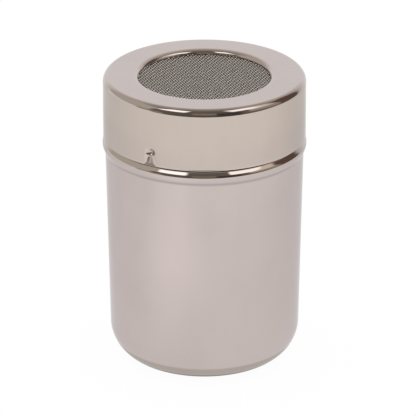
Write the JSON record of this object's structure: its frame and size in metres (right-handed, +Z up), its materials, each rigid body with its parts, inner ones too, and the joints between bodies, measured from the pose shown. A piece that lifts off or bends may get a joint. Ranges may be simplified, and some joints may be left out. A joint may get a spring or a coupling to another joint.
{
  "type": "spice shaker",
  "caption": "Stainless steel shaker: a drawn, beaded cup with a lift-off bayonet lid that sifts powder through fine wire cloth held by a clamp ring.",
  "frame": {"origin": "centre of the cup's foot, in the plane it stands on", "axes": "+Z up along the axis of the cup and lid; +X to the right and -Y to the front, 31 degrees round from a dimple of the lid"},
  "size_m": [0.067, 0.067, 0.0988],
  "materials": {
    "cup_steel": "satin stainless steel",
    "lid_steel": "satin stainless steel with polished bends",
    "ring_steel": "plain rolled stainless steel",
    "wire_steel": "drawn stainless wire"
  },
  "bodies": {
    "cup": {"cup": "cup_steel"},
    "lid": {"lid_shell": "lid_steel", "clamp_ring": "ring_steel", "warp_wires": "wire_steel", "weft_wires": "wire_steel"}
  },
  "joints": [
    {"name": "lid_lift", "type": "slide", "parent": "cup", "child": "lid", "axis": [0, 0, 1], "range_m": [0, 0.045]}
  ]
}
